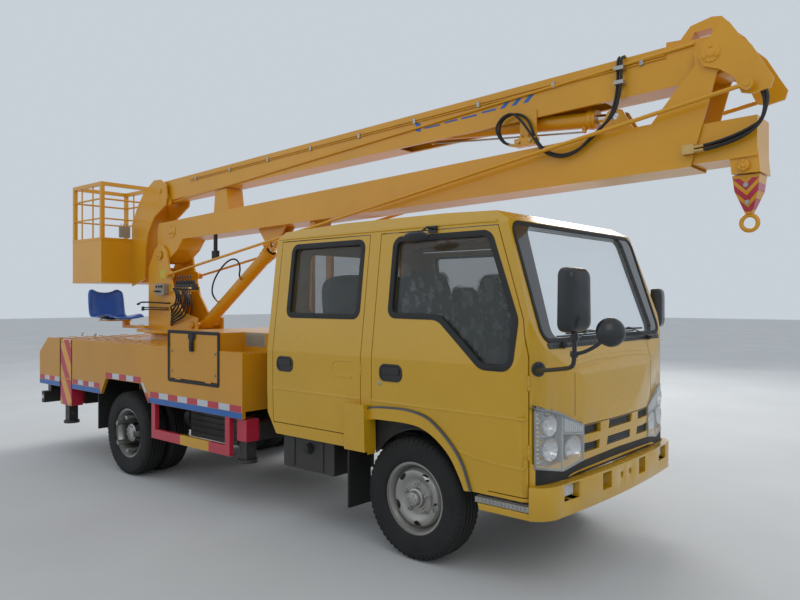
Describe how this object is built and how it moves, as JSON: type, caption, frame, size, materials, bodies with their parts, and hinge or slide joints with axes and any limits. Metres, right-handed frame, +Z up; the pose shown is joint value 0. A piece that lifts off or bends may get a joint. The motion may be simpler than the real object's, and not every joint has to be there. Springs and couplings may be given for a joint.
{
  "type": "cherry picker truck",
  "caption": "Crew cab truck with a folding boom on a slewing turret, a work basket at the boom tip, a hook on the lower boom and outriggers.",
  "frame": {"origin": "on the ground under the middle of the overall length and width", "axes": "+X towards the cab, +Y to the left side, +Z up"},
  "size_m": [7.267, 2.36, 3.188],
  "materials": {
    "tyre": "matt",
    "wheel_silver": "satin",
    "frame_black": "satin",
    "cab_yellow": "gloss",
    "glass": "gloss",
    "bumper_yellow": "gloss",
    "grille_black": "matt",
    "lamp": "gloss",
    "mirror_black": "satin",
    "seat_grey": "matt",
    "interior_grey": "matt",
    "iron": "matt",
    "bed_yellow": "satin",
    "rubber": "matt",
    "red": "satin",
    "boom_yellow": "satin",
    "rod_steel": "polished",
    "blue_plastic": "gloss"
  },
  "bodies": {
    "truck": {"chassis_frame": "frame_black", "axle_front": "frame_black", "axle_rear": "frame_black", "cab_shell": "cab_yellow", "cab_glass": "glass", "bumper_front": "bumper_yellow", "grille": "grille_black", "lamps_front": "lamp", "mirror_right": "mirror_black", "seats": "seat_grey", "cab_interior": "interior_grey", "driveline": "iron", "bed": "bed_yellow", "guards": "red", "mudguards": "rubber", "tanks": "frame_black", "boom_rest": "boom_yellow"},
    "wheel_front_right": {"wheel_front_right": "wheel_silver", "tyre_front_right": "tyre"},
    "knuckle_right": {"knuckle_right": "iron"},
    "wheels_rear_right": {"wheels_rear_right": "wheel_silver", "tyres_rear_right": "tyre"},
    "door_front_right": {"door_front_right": "cab_yellow", "door_glass_front_right": "glass"},
    "door_rear_right": {"door_rear_right": "cab_yellow", "door_glass_rear_right": "glass"},
    "locker_lid_right": {"locker_lid_right": "bed_yellow"},
    "outrigger_beam_front_right": {"outrigger_beam_front_right": "red"},
    "outrigger_leg_front_right": {"outrigger_leg_front_right": "red"},
    "outrigger_beam_rear_right": {"outrigger_beam_rear_right": "red"},
    "outrigger_leg_rear_right": {"outrigger_leg_rear_right": "red"},
    "wheel_front_left": {"wheel_front_left": "wheel_silver", "tyre_front_left": "tyre"},
    "knuckle_left": {"knuckle_left": "iron"},
    "wheels_rear_left": {"wheels_rear_left": "wheel_silver", "tyres_rear_left": "tyre"},
    "door_front_left": {"door_front_left": "cab_yellow", "door_glass_front_left": "glass", "mirror_left": "mirror_black"},
    "door_rear_left": {"door_rear_left": "cab_yellow", "door_glass_rear_left": "glass"},
    "locker_lid_left": {"locker_lid_left": "bed_yellow"},
    "outrigger_beam_front_left": {"outrigger_beam_front_left": "red"},
    "outrigger_leg_front_left": {"outrigger_leg_front_left": "red"},
    "outrigger_beam_rear_left": {"outrigger_beam_rear_left": "red"},
    "outrigger_leg_rear_left": {"outrigger_leg_rear_left": "red"},
    "turret": {"turret": "boom_yellow", "operator_seat": "blue_plastic"},
    "lower_boom": {"lower_boom": "boom_yellow"},
    "upper_boom": {"upper_boom": "boom_yellow"},
    "lift_barrel": {"lift_barrel": "boom_yellow"},
    "lift_rod": {"lift_rod": "rod_steel"},
    "fold_barrel": {"fold_barrel": "boom_yellow"},
    "fold_rod": {"fold_rod": "rod_steel"},
    "jib": {"jib": "boom_yellow"},
    "hook": {"hook": "boom_yellow"},
    "elbow_plates": {"elbow_plates": "boom_yellow"},
    "level_rods": {"level_rods": "boom_yellow"},
    "tip_lever": {"tip_lever": "boom_yellow"},
    "basket": {"basket": "boom_yellow"}
  },
  "joints": [
    {"name": "steer_right", "type": "hinge", "parent": "truck", "child": "knuckle_right", "pos_m": [1.7765, -0.61, 0.38], "axis": [0, 0, 1], "range_deg": [-33, 33]},
    {"name": "wheel_front_right_spin", "type": "hinge", "parent": "knuckle_right", "child": "wheel_front_right", "pos_m": [1.7765, -0.752, 0.38], "axis": [0, 1, 0], "continuous": true},
    {"name": "wheels_rear_right_spin", "type": "hinge", "parent": "truck", "child": "wheels_rear_right", "pos_m": [-1.5835, -0.712, 0.38], "axis": [0, 1, 0], "continuous": true},
    {"name": "door_front_right_hinge", "type": "hinge", "parent": "truck", "child": "door_front_right", "pos_m": [2.6215, -0.889, 1.24], "axis": [0, 0, 1], "range_deg": [0, 70]},
    {"name": "door_rear_right_hinge", "type": "hinge", "parent": "truck", "child": "door_rear_right", "pos_m": [1.4035, -0.92, 1.24], "axis": [0, 0, 1], "range_deg": [0, 70]},
    {"name": "locker_lid_right_hinge", "type": "hinge", "parent": "truck", "child": "locker_lid_right", "pos_m": [-0.4605, -0.95, 0.949], "axis": [1, 0, 0], "range_deg": [0, 90]},
    {"name": "outrigger_front_right_reach", "type": "slide", "parent": "truck", "child": "outrigger_beam_front_right", "axis": [0, -1, 0], "range_m": [0, 0.45]},
    {"name": "outrigger_front_right_leg", "type": "slide", "parent": "outrigger_beam_front_right", "child": "outrigger_leg_front_right", "axis": [0, 0, -1], "range_m": [0, 0.36]},
    {"name": "outrigger_rear_right_reach", "type": "slide", "parent": "truck", "child": "outrigger_beam_rear_right", "axis": [0, -1, 0], "range_m": [0, 0.45]},
    {"name": "outrigger_rear_right_leg", "type": "slide", "parent": "outrigger_beam_rear_right", "child": "outrigger_leg_rear_right", "axis": [0, 0, -1], "range_m": [0, 0.34]},
    {"name": "steer_left", "type": "hinge", "parent": "truck", "child": "knuckle_left", "pos_m": [1.7765, 0.61, 0.38], "axis": [0, 0, 1], "range_deg": [-33, 33]},
    {"name": "wheel_front_left_spin", "type": "hinge", "parent": "knuckle_left", "child": "wheel_front_left", "pos_m": [1.7765, 0.752, 0.38], "axis": [0, 1, 0], "continuous": true},
    {"name": "wheels_rear_left_spin", "type": "hinge", "parent": "truck", "child": "wheels_rear_left", "pos_m": [-1.5835, 0.712, 0.38], "axis": [0, 1, 0], "continuous": true},
    {"name": "door_front_left_hinge", "type": "hinge", "parent": "truck", "child": "door_front_left", "pos_m": [2.6215, 0.889, 1.24], "axis": [0, 0, -1], "range_deg": [0, 70]},
    {"name": "door_rear_left_hinge", "type": "hinge", "parent": "truck", "child": "door_rear_left", "pos_m": [1.4035, 0.92, 1.24], "axis": [0, 0, -1], "range_deg": [0, 70]},
    {"name": "locker_lid_left_hinge", "type": "hinge", "parent": "truck", "child": "locker_lid_left", "pos_m": [-0.4605, 0.95, 0.949], "axis": [-1, 0, 0], "range_deg": [0, 90]},
    {"name": "outrigger_front_left_reach", "type": "slide", "parent": "truck", "child": "outrigger_beam_front_left", "axis": [0, 1, 0], "range_m": [0, 0.45]},
    {"name": "outrigger_front_left_leg", "type": "slide", "parent": "outrigger_beam_front_left", "child": "outrigger_leg_front_left", "axis": [0, 0, -1], "range_m": [0, 0.36]},
    {"name": "outrigger_rear_left_reach", "type": "slide", "parent": "truck", "child": "outrigger_beam_rear_left", "axis": [0, 1, 0], "range_m": [0, 0.45]},
    {"name": "outrigger_rear_left_leg", "type": "slide", "parent": "outrigger_beam_rear_left", "child": "outrigger_leg_rear_left", "axis": [0, 0, -1], "range_m": [0, 0.34]},
    {"name": "slew", "type": "hinge", "parent": "truck", "child": "turret", "pos_m": [-2.1235, 0, 1.265], "axis": [0, 0, 1], "continuous": true},
    {"name": "luff", "type": "hinge", "parent": "turret", "child": "lower_boom", "pos_m": [-2.3135, 0, 2.08], "axis": [0, -1, 0], "range_deg": [0, 70]},
    {"name": "elbow_level", "type": "hinge", "parent": "lower_boom", "child": "elbow_plates", "pos_m": [3.3215, 0, 2.95], "axis": [0, -1, 0], "range_deg": [-70, 0]},
    {"name": "level_rod_pivot", "type": "hinge", "parent": "elbow_plates", "child": "level_rods", "pos_m": [3.5165, 0, 2.735], "axis": [0, -1, 0], "range_deg": [0, 70]},
    {"name": "fold", "type": "hinge", "parent": "lower_boom", "child": "upper_boom", "pos_m": [3.3215, 0, 2.95], "axis": [0, 1, 0], "range_deg": [0, 110]},
    {"name": "tip_lever_level", "type": "hinge", "parent": "upper_boom", "child": "tip_lever", "pos_m": [-2.3435, 0, 2.775], "axis": [0, -1, 0], "range_deg": [-70, 0]},
    {"name": "basket_level", "type": "hinge", "parent": "tip_lever", "child": "basket", "pos_m": [-2.3435, 0, 2.775], "axis": [0, 1, 0], "range_deg": [-110, 0]},
    {"name": "lift_barrel_pivot", "type": "hinge", "parent": "turret", "child": "lift_barrel", "pos_m": [-1.7035, 0, 1.35], "axis": [0, -1, 0], "range_deg": [0, 58]},
    {"name": "lift_rod_stroke", "type": "slide", "parent": "lift_barrel", "child": "lift_rod", "axis": [0.8298, 0, 0.5581], "range_m": [0, 1.02]},
    {"name": "fold_barrel_pivot", "type": "hinge", "parent": "upper_boom", "child": "fold_barrel", "pos_m": [1.1765, 0, 2.86], "axis": [0, 1, 0], "range_deg": [0, 4.2]},
    {"name": "fold_rod_stroke", "type": "slide", "parent": "fold_barrel", "child": "fold_rod", "axis": [0.9965, 0, -0.0836], "range_m": [0, 1.04]},
    {"name": "jib_slide", "type": "slide", "parent": "lower_boom", "child": "jib", "axis": [0.9998, 0, 0.0216], "range_m": [0, 1.2]},
    {"name": "hook_swivel", "type": "hinge", "parent": "jib", "child": "hook", "pos_m": [3.4765, 0, 2.285], "axis": [0, 0, 1], "continuous": true}
  ],
  "couplings": [
    {"joint": "steer_left", "follows": "steer_right", "ratio": 1},
    {"joint": "elbow_level", "follows": "luff", "ratio": -1},
    {"joint": "level_rod_pivot", "follows": "luff", "ratio": 1},
    {"joint": "tip_lever_level", "follows": "luff", "ratio": -1},
    {"joint": "basket_level", "follows": "fold", "ratio": -1},
    {"joint": "lift_barrel_pivot", "follows": "luff", "ratio": 0.81594},
    {"joint": "lift_rod_stroke", "follows": "luff", "m_per_rad": 0.8299},
    {"joint": "fold_barrel_pivot", "follows": "fold", "ratio": 0.03608},
    {"joint": "fold_rod_stroke", "follows": "fold", "m_per_rad": 0.53648}
  ]
}
